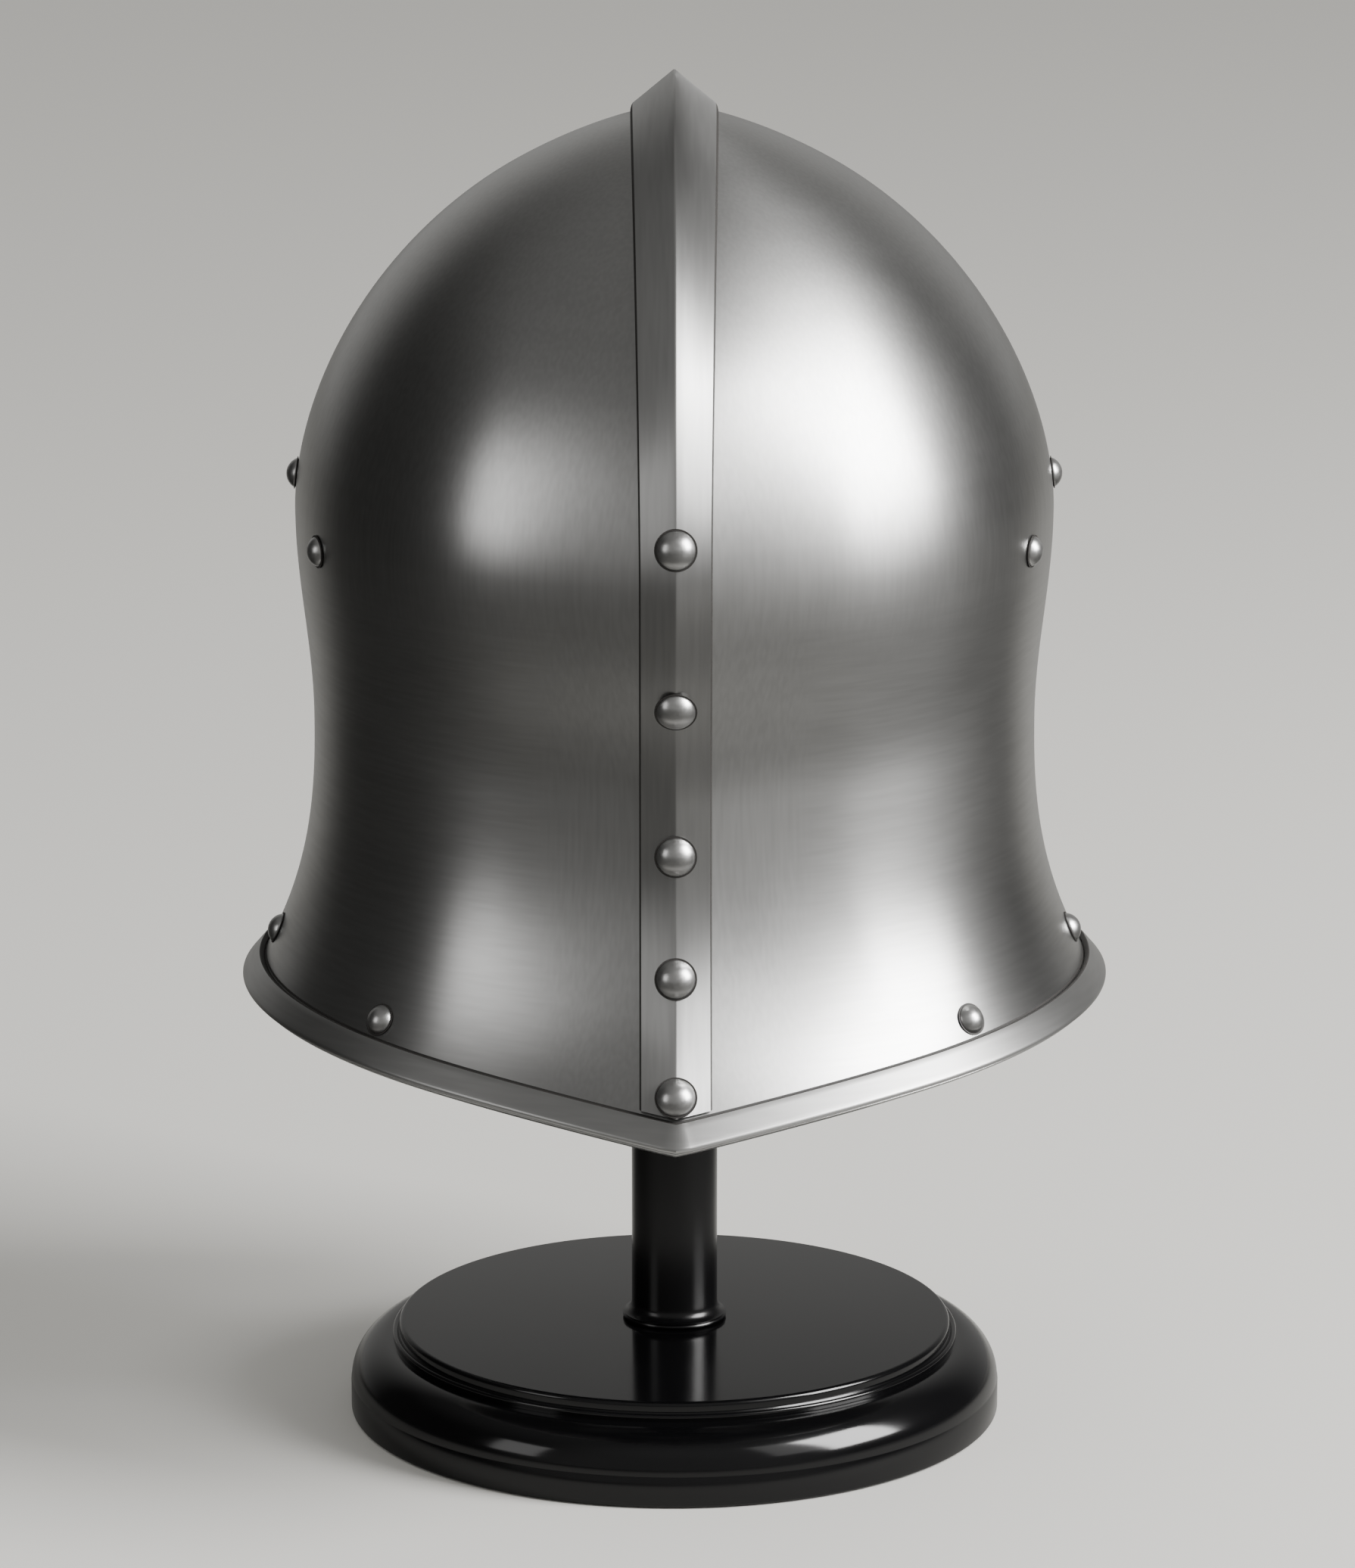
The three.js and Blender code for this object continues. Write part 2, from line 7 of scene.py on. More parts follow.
import math
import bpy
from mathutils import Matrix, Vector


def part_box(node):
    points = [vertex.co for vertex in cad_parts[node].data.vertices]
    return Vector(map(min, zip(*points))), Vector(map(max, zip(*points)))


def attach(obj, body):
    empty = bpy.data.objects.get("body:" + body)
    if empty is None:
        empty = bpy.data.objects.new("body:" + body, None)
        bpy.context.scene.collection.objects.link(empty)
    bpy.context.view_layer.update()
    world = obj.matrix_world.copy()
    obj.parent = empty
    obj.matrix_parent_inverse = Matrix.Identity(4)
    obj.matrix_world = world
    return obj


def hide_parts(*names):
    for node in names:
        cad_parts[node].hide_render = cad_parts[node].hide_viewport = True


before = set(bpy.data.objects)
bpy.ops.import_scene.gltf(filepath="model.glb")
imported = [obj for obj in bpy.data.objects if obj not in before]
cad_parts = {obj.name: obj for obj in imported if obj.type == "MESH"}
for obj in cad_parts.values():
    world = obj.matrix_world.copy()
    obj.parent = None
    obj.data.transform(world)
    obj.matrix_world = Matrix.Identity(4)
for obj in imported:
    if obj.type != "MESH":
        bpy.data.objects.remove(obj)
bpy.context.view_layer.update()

from types import SimpleNamespace

import bmesh
import bpy
from bpy.props import FloatProperty, FloatVectorProperty, PointerProperty
from mathutils import Matrix, Vector

bl_info = {
    "name": "Barbute on a display stand",
    "version": (1, 0, 0),
    "blender": (4, 5, 0),
    "location": "3D View > Sidebar > Barbute",
    "description": "Builds a brushed steel barbute and its lacquered stand",
    "category": "Object",
}


def length(name, description, millimetres):
    """A length property: its default is written in millimetres and kept in metres."""
    return FloatProperty(
        name=name,
        description=description,
        default=millimetres / 1000.0,
        precision=5,
        subtype="DISTANCE",
        unit="LENGTH",
    )


def power(name, description, value):
    """A plain number that bends a curve of the shape."""
    return FloatProperty(name=name, description=description, default=value, min=1.0, max=4.0)


def slope(name, description, degrees):
    """An angle property written in degrees."""
    return FloatProperty(
        name=name,
        description=description,
        default=math.radians(degrees),
        subtype="ANGLE",
        unit="ROTATION",
    )


def shade(name, description, hexadecimal):
    """A colour property from an sRGB hex value."""
    return FloatVectorProperty(
        name=name,
        description=description,
        default=linear(hexadecimal)[:3],
        size=3,
        min=0.0,
        max=1.0,
        subtype="COLOR",
    )


def linear(hexadecimal):
    """Turns an sRGB hex colour into linear red, green, blue and alpha."""
    channels = []
    for i in (0, 2, 4):
        value = int(hexadecimal.lstrip("#")[i:i + 2], 16) / 255.0
        if value <= 0.04045:
            channels.append(value / 12.92)
        else:
            channels.append(((value + 0.055) / 1.055) ** 2.4)
    return (channels[0], channels[1], channels[2], 1.0)


class BarbuteSkull(bpy.types.PropertyGroup):
    """Sizes of the helmet's sheet."""

    half_width: length("Skull half-width", "Half-width at the widest level", 110.2)
    back: length("Skull back", "Reach to the back at the widest level, without the keel", 117)
    front: length("Skull front", "Reach to the front at the widest level", 121)
    neck_half_width: length("Neck half-width", "Half-width at the neck", 105.3)
    neck_back: length("Neck back", "Reach to the back at the neck, without the keel", 101.5)
    neck_front: length("Neck front", "Reach to the front at the neck", 117)
    dome_height: length("Dome height", "Height of the dome over the widest level", 113)
    dome_power: power("Dome power", "2 is a round dome, less is more pointed", 1.8)
    neck_over_rim: length("Neck over rim", "Height of the neck over the rim's fold", 71)
    widest_over_rim: length("Widest over rim", "Height of the widest level over the fold", 134.9)
    rim_over_table: length("Rim over table", "Height of the fold at the sides", 140.5)
    rim_half_width: length("Rim half-width", "Half-width at the fold", 120.4)
    rim_back: length("Rim back", "Reach to the back at the fold, without the keel", 122)
    rim_front: length("Rim front", "Reach to the front at the fold", 122)
    tail_dip: length("Tail dip", "How far the fold falls from the sides to the tail", 13.9)
    tail_power: power("Tail power", "1 is a straight V at the tail, more is rounder", 1.18)
    flare_power: power("Flare power", "How late the wall turns out below the neck", 2.5)
    wall: length("Wall", "Thickness of the sheet", 1.6)
    keel: length("Keel", "Height of the pressed medial keel at the back", 8)
    keel_spread: length("Keel spread", "How far the keel spreads to each side", 45)
    tail_keel: length("Tail keel", "Height of the keel at the tail", 13.7)
    tail_keel_spread: length("Tail keel spread", "Spread of the keel at the tail", 70)
    front_keel: length("Front keel", "Height of the keel at the front", 5)
    crown_keel: length("Crown keel", "Height of the keel at the crown", 3)


class BarbuteTrim(bpy.types.PropertyGroup):
    """Sizes of the strip, the ridge band, the rivets and the face opening."""

    lip_width: length("Lip width", "Width of the turned-out lip and its strip", 8.9)
    lip_slope: slope("Lip slope", "Fall of the lip below level", 49)
    strip: length("Strip", "Thickness of the rim strip and the ridge band", 1.5)
    gap: length("Gap", "Clearance between touching pieces", 0.3)
    ridge_width: length("Ridge width", "Width of the ridge band at the nape", 20.4)
    ridge_crown_wider: length("Ridge wider", "More width at the crown", 5.0)
    ridge_crown_higher: length("Ridge higher", "More height of the crest at the crown", 8.3)
    ridge_crown_clear: length("Ridge clear", "More clearance under the edges at the crown", 0.2)
    ridge_front_end: slope("Ridge end", "Where the ridge band ends over the brow", 8)
    ridge_rivet: length("Ridge rivet", "Radius of a ridge rivet's head", 6.0)
    ridge_rise: length("Ridge rivet rise", "Height of a ridge rivet's head", 3.9)
    small_rivet: length("Small rivet", "Radius of a wall rivet's head", 4.75)
    small_rise: length("Small rivet rise", "Height of a wall rivet's head", 3.1)
    slit_half_width: length("Slit half-width", "Half of the gap between the cheeks", 15)
    slit_top_half_width: length("Slit top", "Half of that gap under the eyes", 24)
    slit_top: length("Slit height", "Height of the slit's top over the fold", 73.7)
    eye_half_width: length("Eye half-width", "Half-width of the eye opening", 66)
    eye_corner: length("Eye corner", "Height of the eye's outer corner over the fold", 101.7)
    eye_top: length("Eye top", "Height of the brow edge over the fold", 133.7)


class BarbuteStand(bpy.types.PropertyGroup):
    """Sizes of the display stand."""

    foot_radius: length("Foot radius", "Radius of the foot's flat edge", 96.5)
    foot_edge: length("Foot edge", "Height of the flat edge", 9)
    moulding_radius: length("Moulding radius", "Inner radius of the quarter round", 84)
    moulding_top: length("Moulding top", "Height of the quarter round", 21.5)
    bead: length("Bead", "Height of the bead over the moulding", 2.4)
    plate_radius: length("Plate radius", "Radius of the raised plate", 82)
    plate_top: length("Plate top", "Height of the plate", 27)
    post_radius: length("Post radius", "Radius of the post", 12.7)
    collar_radius: length("Collar radius", "Radius of the collar at the post's foot", 15.4)
    collar_height: length("Collar height", "Height of the collar", 4.8)
    head_radius: length("Head radius", "Radius of the block under the crown", 52)


class BarbuteLook(bpy.types.PropertyGroup):
    """Colours of the metal and the lacquer."""

    steel: shade("Steel", "Reflected colour of the brushed sheet", "#C6C6C5")
    rivet_steel: shade("Rivet steel", "Reflected colour of the satin rivets", "#CDCDCC")
    # painted shade: the colour of the seams and the rings round the rivets, where they lie in shadow
    seam: shade("Seam", "Dark oxide in the seams and round the rivets", "#2E2C2A")
    lacquer: shade("Lacquer", "Black lacquer of the stand", "#070708")
    floor: shade("Floor", "Pale floor", "#D2D1CD")


# Shape of the skull

# Halvings in each search along the skull, which end far below a micrometre
HALVINGS = 40


def mix(a, b, t):
    """Goes from a to b while t goes from 0 to 1."""
    return a + (b - a) * t


def level(skull, v):
    """The skull at a level: 0 is the fold over the rim, 1 the neck, 2 the widest, 3 the crown."""
    neck = skull.rim_over_table + skull.neck_over_rim
    widest = skull.rim_over_table + skull.widest_over_rim
    at_neck = (skull.neck_half_width, skull.neck_back, skull.neck_front)
    at_widest = (skull.half_width, skull.back, skull.front)
    row = SimpleNamespace(share=0.0, z=neck, out=1.0, up=0.0, keel=skull.keel, spread=skull.keel_spread)
    if v <= 1.0:
        at_rim = (skull.rim_half_width, skull.rim_back, skull.rim_front)
        row.share = 1.0 - v
        flare = row.share ** skull.flare_power
        row.keel = mix(skull.keel, skull.tail_keel, flare)
        row.spread = mix(skull.keel_spread, skull.tail_keel_spread, flare)
        reaches = [mix(a, b, flare) for a, b in zip(at_neck, at_rim)]
    elif v <= 2.0:
        t = (1.0 - math.cos(math.pi * (v - 1.0))) / 2.0
        row.z = mix(neck, widest, v - 1.0)
        reaches = [mix(a, b, t) for a, b in zip(at_neck, at_widest)]
    else:
        angle = (v - 2.0) * math.pi / 2.0
        c = max(0.0, math.cos(angle))
        s = math.sin(angle)
        power = 2.0 / skull.dome_power
        row.z = widest + skull.dome_height * s ** power
        row.out, row.up = Vector((c ** (2.0 - power), s ** (2.0 - power))).normalized()
        reaches = [a * c ** power for a in at_widest]
    row.half, row.back, row.front = reaches
    return row


def fold_height(skull, angle):
    """Height of the fold: level at the sides and front, falling to a point at the back."""
    if math.sin(angle) >= 0.0:
        return skull.rim_over_table
    return skull.rim_over_table - skull.tail_dip * (1.0 - abs(math.cos(angle))) ** skull.tail_power


def keel_at(skull, row, x, behind):
    """Height of the pressed keel beside the middle."""
    away = min(1.0, abs(x) / row.spread)
    full = mix(row.keel if behind else skull.front_keel, skull.crown_keel, row.up ** 2)
    return full * (1.0 - away) ** 2


def skull_point(skull, v, angle):
    """A point of the sheet's outer face, at an angle from +X."""
    row = level(skull, v)
    sine = math.sin(angle)
    behind = sine < 0.0
    x = row.half * math.cos(angle)
    y = (row.back if behind else row.front) * sine
    z = mix(level(skull, 1.0).z, fold_height(skull, angle), row.share) if row.share > 0.0 else row.z
    keel = keel_at(skull, row, x, behind)
    return Vector((x, y + sine * keel * row.out, z + keel * row.up))


def ring(skull, v, count):
    """One level of the sheet as a ring of points, starting at the tail."""
    return [skull_point(skull, v, -math.pi / 2.0 + i / count * 2.0 * math.pi) for i in range(count)]


def shifted(points, outward, up):
    """Moves a ring's points outward in plan, square to both neighbouring facets, and up."""
    moved = []
    count = len(points)
    for i, point in enumerate(points):
        before = points[i - 1]
        after = points[(i + 1) % count]
        n1 = Vector((point.y - before.y, before.x - point.x)).normalized()
        n2 = Vector((after.y - point.y, point.x - after.x)).normalized()
        n = (n1 + n2).normalized()
        reach = outward / n.dot(n1)
        moved.append(Vector((point.x + n.x * reach, point.y + n.y * reach, point.z + up)))
    return moved


def lip_ring(fold, trim, down, off):
    """The turned-out lip: down its slope from the fold, and off its face."""
    c = math.cos(trim.lip_slope)
    s = math.sin(trim.lip_slope)
    return shifted(fold, down * c + off * s, off * c - down * s)


def surface_beside(skull, v, behind, x):
    """The skull beside its crest: on the same level of the wall, or square to the crest on the dome."""
    row = level(skull, v)
    side = -1.0 if behind else 1.0
    if v <= 2.0:
        return skull_point(skull, v, side * math.acos(x / row.half))
    widest = level(skull, 2.0).z
    reach = row.back if behind else row.front
    full = skull.back if behind else skull.front
    near = 0.0
    far = skull.dome_height / 2.0
    for _ in range(HALVINGS):
        s = (near + far) / 2.0
        y = max(0.0, reach - s * row.out)
        z = max(0.0, row.z - s * row.up - widest)
        plan = (x / skull.half_width) ** 2 + (y / full) ** 2
        value = plan ** (skull.dome_power / 2.0) + (z / skull.dome_height) ** skull.dome_power
        if value > 1.0:
            near = s
        else:
            far = s
    off = keel_at(skull, row, x, behind) - near
    return Vector((x, side * (reach + off * row.out), row.z + off * row.up))


def level_at(skull, angle, z, high):
    """The level at which the sheet passes a height, at an angle round it."""
    low = 0.0
    for _ in range(HALVINGS):
        v = (low + high) / 2.0
        if skull_point(skull, v, angle).z < z:
            low = v
        else:
            high = v
    return low


# Mesh helpers

def draped_grid(rows, close_rows=False, dark_columns=(), dark_rows=()):
    """A flat grid laid over rows of points: each row runs round, and the rows run up.

    The faces of the dark columns and rows wear the piece's second material.
    """
    around = len(rows[0])
    if close_rows:
        rows = rows + [rows[0]]
    upward = len(rows) - 1
    bm = bmesh.new()
    bmesh.ops.create_grid(bm, x_segments=around, y_segments=upward, size=1.0)
    for face in bm.faces:
        centre = face.calc_center_median()
        column = math.floor((centre.x + 1.0) / 2.0 * around)
        row = math.floor((centre.y + 1.0) / 2.0 * upward)
        face.material_index = int(column in dark_columns or row in dark_rows)
    for vert in bm.verts:
        i = round((vert.co.x + 1.0) / 2.0 * around) % around
        j = round((vert.co.y + 1.0) / 2.0 * upward)
        vert.co = rows[j][i]
    bmesh.ops.remove_doubles(bm, verts=bm.verts, dist=2e-6)
    return bm


def turned(profile, steps=96):
    """Spins a profile of radius and height in millimetres round the Z axis, like a lathe."""
    bm = bmesh.new()
    verts = [bm.verts.new((radius / 1000.0, 0.0, height / 1000.0)) for radius, height in profile]
    edges = [bm.edges.new(pair) for pair in zip(verts, verts[1:])]
    bmesh.ops.spin(
        bm, geom=verts + edges, cent=(0.0, 0.0, 0.0), axis=(0.0, 0.0, 1.0),
        angle=2.0 * math.pi, steps=steps, use_merge=True,
    )
    bmesh.ops.remove_doubles(bm, verts=bm.verts, dist=1e-6)
    bmesh.ops.recalc_face_normals(bm, faces=bm.faces)
    return bm


def arc(centre, radii, start, end, steps):
    """Points of an elliptical arc in millimetres, angles in degrees from outward toward up."""
    points = []
    for i in range(steps + 1):
        angle = math.radians(mix(start, end, i / steps))
        points.append((centre[0] + radii[0] * math.cos(angle), centre[1] + radii[1] * math.sin(angle)))
    return points


def finish_piece(name, bm, materials, node, crease=35.0):
    """Turns a bmesh into a named piece that stands for a node and rides on the part."""
    mesh = bpy.data.meshes.new(name)
    bm.to_mesh(mesh)
    bm.free()
    for material in materials:
        mesh.materials.append(material)
    mesh.shade_smooth()
    mesh.set_sharp_from_angle(angle=math.radians(crease))
    piece = bpy.data.objects.new(name, mesh)
    bpy.context.scene.collection.objects.link(piece)
    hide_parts(node)
    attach(piece, "root")


def round_hard_edges(bm, width):
    """Rounds every edge that is sharper than an angle."""
    limit = math.radians(55.0)
    edges = [edge for edge in bm.edges if len(edge.link_faces) == 2 and edge.calc_face_angle() > limit]
    bmesh.ops.bevel(
        bm, geom=edges, offset=width, offset_type="OFFSET", segments=2, profile=0.5,
        affect="EDGES", material=-1, clamp_overlap=True,
    )


# Materials

def add(tree, kind, settings=None, links=None):
    """Adds a node, sets its properties and inputs, and links inputs to other nodes' outputs."""
    node = tree.nodes.new(kind)
    for key, value in (settings or {}).items():
        if isinstance(key, str) and key in node.bl_rna.properties:
            setattr(node, key, value)
        else:
            node.inputs[key].default_value = value
    for key, source in (links or {}).items():
        tree.links.new(source, node.inputs[key])
    return node


def new_material(name):
    """An empty node material, its tree, and the place on the object in metres."""
    material = bpy.data.materials.new(name)
    material.use_nodes = True
    tree = material.node_tree
    tree.nodes.clear()
    return material, tree, add(tree, "ShaderNodeTexCoord").outputs["Object"]


def dress(tree, settings, links):
    """Ends a material with its Principled shader: uniform inputs set on it, the others linked."""
    shader = add(tree, "ShaderNodeBsdfPrincipled", settings, links)
    add(tree, "ShaderNodeOutputMaterial", links={"Surface": shader.outputs["BSDF"]})


def noise(tree, place, scale, detail, roughness=0.5):
    """Noise over the object; its scale is in marks per metre."""
    settings = {"Scale": scale, "Detail": detail, "Roughness": roughness}
    return add(tree, "ShaderNodeTexNoise", settings, {"Vector": place}).outputs["Fac"]


def spread(tree, value, low, high):
    """Stretches the middle of a noise from one roughness to another."""
    settings = {"From Min": 0.3, "From Max": 0.7, "To Min": low, "To Max": high}
    return add(tree, "ShaderNodeMapRange", settings, {"Value": value}).outputs["Result"]


def soft_step(tree, value, start, end, strength=1.0):
    """Rises smoothly from 0 to a strength while a value goes from start to end."""
    settings = {"interpolation_type": "SMOOTHSTEP", "From Min": start, "From Max": end, "To Max": strength}
    return add(tree, "ShaderNodeMapRange", settings, {"Value": value}).outputs["Result"]


def relief(tree, height, strength, depth):
    """Fine bump of a surface, its depth in metres."""
    settings = {"Strength": strength, "Distance": depth}
    return add(tree, "ShaderNodeBump", settings, {"Height": height}).outputs["Normal"]


def two_tones(tree, value, dark, light, start=0.0, end=1.0):
    """Goes from a dark tone to a light one."""
    ramp = add(tree, "ShaderNodeValToRGB", {}, {"Fac": value})
    for element, place, tone in zip(ramp.color_ramp.elements, (start, end), (dark, light)):
        element.position = place
        element.color = tone
    return ramp.outputs["Color"]


def opaque(colour, share=1.0):
    """A colour property with alpha, or a share of its strength."""
    return tuple(channel * share for channel in colour) + (1.0,)


def brush_lines(tree, place, stretch, seed):
    """Brush lines: noise squeezed across the lines and drawn out along them."""
    settings = {"Scale": stretch, "Location": (seed, seed, seed)}
    mapping = add(tree, "ShaderNodeMapping", settings, {"Vector": place})
    return noise(tree, mapping.outputs["Vector"], 1.0, 1.0, 0.4)


def upright_beside_the_band(tree, place):
    """1 where the sheet was brushed upright: on the dome and beside the ridge band."""
    apart = add(tree, "ShaderNodeSeparateXYZ", {}, {"Vector": place})
    away = add(tree, "ShaderNodeMath", {"operation": "ABSOLUTE"}, {0: apart.outputs["X"]})
    beside = soft_step(tree, away.outputs[0], 0.045, 0.027)
    above = soft_step(tree, apart.outputs["Z"], 0.24, 0.28)
    return add(tree, "ShaderNodeMath", {"operation": "MAXIMUM"}, {0: beside, 1: above}).outputs[0]


def brushed_mild_steel(look, name, stretch, turn, roughness, upright=None):
    """Mild steel sheet, belt-brushed: fine parallel lines that draw each highlight out across them.

    stretch is that of the noise on X, Y and Z: a line every millimetre and some 15 mm long, which is
    three times as coarse as the belt's grit, so that it shows. turn lays the shader's grain along
    the lines. upright is the stretch of a second set of lines, where the sheet was brushed that way.
    Every roughness stays over 0.28, so each lamp shows as one soft patch without an edge.
    """
    material, tree, place = new_material(name)
    fine = brush_lines(tree, place, stretch, 0.0)
    if upright:
        beside = upright_beside_the_band(tree, place)
        lines = brush_lines(tree, place, upright, 5.1)
        either = {"Factor": beside, "A": fine, "B": lines}
        fine = add(tree, "ShaderNodeMix", {"data_type": "FLOAT"}, either).outputs["Result"]
    # an earlier pass of the belt, coarser and fainter, about 4 mm apart
    coarse = brush_lines(tree, place, tuple(value * 0.25 for value in stretch), 3.7)
    passes = add(tree, "ShaderNodeMath", {"operation": "MULTIPLY_ADD", 1: 0.4}, {0: coarse, 2: fine})
    both = passes.outputs[0]
    # slow clouding over some 60 mm, as hand polishing leaves
    clouds = noise(tree, place, 16.0, 2.0)
    grain = add(tree, "ShaderNodeTangent", {"direction_type": "RADIAL", "axis": "Z"})
    dress(
        tree, {"Metallic": 1.0, "Anisotropic": 0.5, "Anisotropic Rotation": turn},
        {
            "Base Color": two_tones(tree, both, opaque(look.steel, 0.92), opaque(look.steel), 0.5, 0.9),
            "Roughness": spread(tree, clouds, roughness - 0.025, roughness + 0.025),
            "Normal": relief(tree, both, 0.1, 0.00006),
            "Tangent": grain.outputs["Tangent"],
        },
    )
    return material


def satin_rivet_steel(look):
    """Steel rivet head, set and tumbled: two soft spots of the lamps on an even satin."""
    material, tree, place = new_material("satin_rivet_steel")
    # tumbling marks, a little over a millimetre apart
    haze = noise(tree, place, 850.0, 2.0, 0.6)
    dress(
        tree, {"Metallic": 1.0, "Base Color": opaque(look.rivet_steel)},
        {"Roughness": spread(tree, haze, 0.29, 0.36), "Normal": relief(tree, haze, 0.15, 0.00003)},
    )
    return material


def seam_shade_material(look):
    """Painted shade in a seam: a dull dark line where the gap between two pieces lies in shadow."""
    name = "painted_seam_shade"
    if name in bpy.data.materials:
        return bpy.data.materials[name]
    material, tree, place = new_material(name)
    # a random mottle in the painted shade
    grit = noise(tree, place, 1400.0, 2.0)
    tint = two_tones(tree, grit, opaque(look.seam, 0.5), opaque(look.seam))
    dress(tree, {"Roughness": 0.6}, {"Base Color": tint})
    return material


def black_lacquer(look, name="gloss_black_lacquer", roughness=0.13):
    """Turned wood under sprayed and buffed black lacquer: a deep black with fairly clear reflections."""
    material, tree, place = new_material(name)
    # orange peel of a sprayed coat, about 3 mm from crest to crest and very shallow
    peel = noise(tree, place, 330.0, 1.0)
    # wiped patches, some 40 mm across
    wiped = noise(tree, place, 24.0, 3.0)
    dress(
        tree, {"Base Color": opaque(look.lacquer), "IOR": 1.5},
        {
            "Roughness": spread(tree, wiped, roughness - 0.03, roughness + 0.03),
            "Normal": relief(tree, peel, 0.12, 0.00002),
        },
    )
    return material


def satin_lacquer(look):
    """The same lacquer left unbuffed on the post: the lamps show as faint broad streaks."""
    return black_lacquer(look, "satin_black_lacquer", 0.26)


def matt_black_paint():
    """Brushed-on matt black paint over plain wood: even and dull, out of sight under the crown."""
    material, tree, place = new_material("matt_black_paint")
    strokes = brush_lines(tree, place, (60.0, 900.0, 900.0), 1.3)
    tint = two_tones(tree, strokes, linear("#0E0E0E"), linear("#1B1B1B"))
    dress(tree, {"Roughness": 0.55}, {"Base Color": tint, "Normal": relief(tree, strokes, 0.2, 0.0001)})
    return material


def lobes(tree, direction, base, table):
    """Adds up soft lobes of a direction: axis, where each starts and ends, and its strength."""
    apart = add(tree, "ShaderNodeSeparateXYZ", {}, {"Vector": direction})
    total = add(tree, "ShaderNodeValue")
    total.outputs[0].default_value = base
    result = total.outputs[0]
    for axis, start, end, strength in table:
        lobe = soft_step(tree, apart.outputs[axis], start, end, strength)
        result = add(tree, "ShaderNodeMath", {"operation": "ADD"}, {0: result, 1: lobe}).outputs[0]
    return result


def unless_mirrored(tree, plain, mirrored):
    """One value for the eye and the soft light, and another for what the metal mirrors."""
    glossy = add(tree, "ShaderNodeLightPath").outputs["Is Glossy Ray"]
    settings = {"data_type": "FLOAT", "A": plain}
    links = {"Factor": glossy, "B": mirrored}
    return add(tree, "ShaderNodeMix", settings, links).outputs["Result"]


# Face opening

def face_outline(skull, trim):
    """The face opening seen from the front, as X and Z: a slit between the cheeks and the eyes above.

    Its bends are shares of the way from the slit to the eye's outer corner, and from there to the brow.
    """
    base = skull.rim_over_table

    def curve(a, b, c, steps=14):
        points = []
        for i in range(1, steps + 1):
            t = i / steps
            points.append(a * (1.0 - t) ** 2 + b * 2.0 * t * (1.0 - t) + c * t * t)
        return points

    def at(x, over):
        return Vector((x, base + over))

    slit = trim.slit_top_half_width
    eye = trim.eye_half_width
    under_rim = -0.06
    half = [at(trim.slit_half_width, under_rim), at(trim.slit_half_width, 0.0), at(slit, trim.slit_top)]
    cheek = at(mix(slit, eye, 0.6), mix(trim.slit_top, trim.eye_corner, 0.65))
    half += curve(half[-1], at(mix(slit, eye, 0.1), mix(trim.slit_top, trim.eye_corner, 0.55)), cheek)
    corner = at(eye, trim.eye_corner)
    half += curve(cheek, at(eye, mix(trim.slit_top, trim.eye_corner, 0.75)), corner)
    brow = at(eye * 0.5, mix(trim.eye_corner, trim.eye_top, 0.88))
    half += curve(corner, at(eye * 0.92, mix(trim.eye_corner, trim.eye_top, 0.75)), brow)
    half += curve(brow, at(eye * 0.2, mix(trim.eye_corner, trim.eye_top, 0.96)), at(0.0, trim.eye_top))
    return half + [Vector((-p.x, p.y)) for p in reversed(half[:-1])]


def inside(outline, x, z):
    """Whether a point lies inside a closed outline."""
    hit = False
    for a, b in zip(outline, outline[1:] + outline[:1]):
        if (a.y > z) != (b.y > z) and x < a.x + (z - a.y) / (b.y - a.y) * (b.x - a.x):
            hit = not hit
    return hit


def nearest(outline, x, z):
    """The nearest point of a closed outline."""
    point = Vector((x, z))
    best = None
    for a, b in zip(outline, outline[1:] + outline[:1]):
        along = b - a
        t = max(0.0, min(1.0, (point - a).dot(along) / max(1e-12, along.length_squared)))
        spot = a + along * t
        if best is None or (spot - point).length < (best - point).length:
            best = spot
    return best


def on_front(skull, x, z):
    """The skull's outer face at the front, at X and Z between the fold and the widest level."""
    v = level_at(skull, math.pi / 2.0, z, 2.0)
    return skull_point(skull, v, math.acos(max(-1.0, min(1.0, x / level(skull, v).half))))


def cut_face(bm, skull, outline):
    """Opens the face in the sheet and draws its edge onto the outline."""
    front = 0.03
    doomed = []
    for face in bm.faces:
        centre = face.calc_center_median()
        if centre.y > front and inside(outline, centre.x, centre.z):
            doomed.append(face)
    edge = {vert for face in doomed for vert in face.verts}
    bmesh.ops.delete(bm, geom=doomed, context="FACES")
    for vert in edge:
        if not vert.is_valid:
            continue
        spot = nearest(outline, vert.co.x, vert.co.z)
        if vert.co.z < skull.rim_over_table - 1e-5:
            # on the turned-out lip the slit runs straight down
            vert.co.x = spot.x
        else:
            vert.co = on_front(skull, spot.x, spot.y)


# Ridge band and the places of the rivets

def ridge_stations(skull, trim):
    """Levels along the ridge band, from the tail over the crown to the brow."""
    rear_steps = 150
    front_steps = 60
    crown = 3.0
    tail = skull.rim_over_table - skull.tail_dip
    rise = (trim.gap + trim.strip) * math.cos(trim.lip_slope) + 2.0 * trim.gap
    start = rise / (skull.rim_over_table + skull.neck_over_rim - tail)
    rear = [(mix(start, crown, i / rear_steps), True) for i in range(rear_steps + 1)]
    end = 2.0 + trim.ridge_front_end / (math.pi / 2.0)
    front = [(mix(crown, end, i / front_steps), False) for i in range(1, front_steps + 1)]
    return rear + front


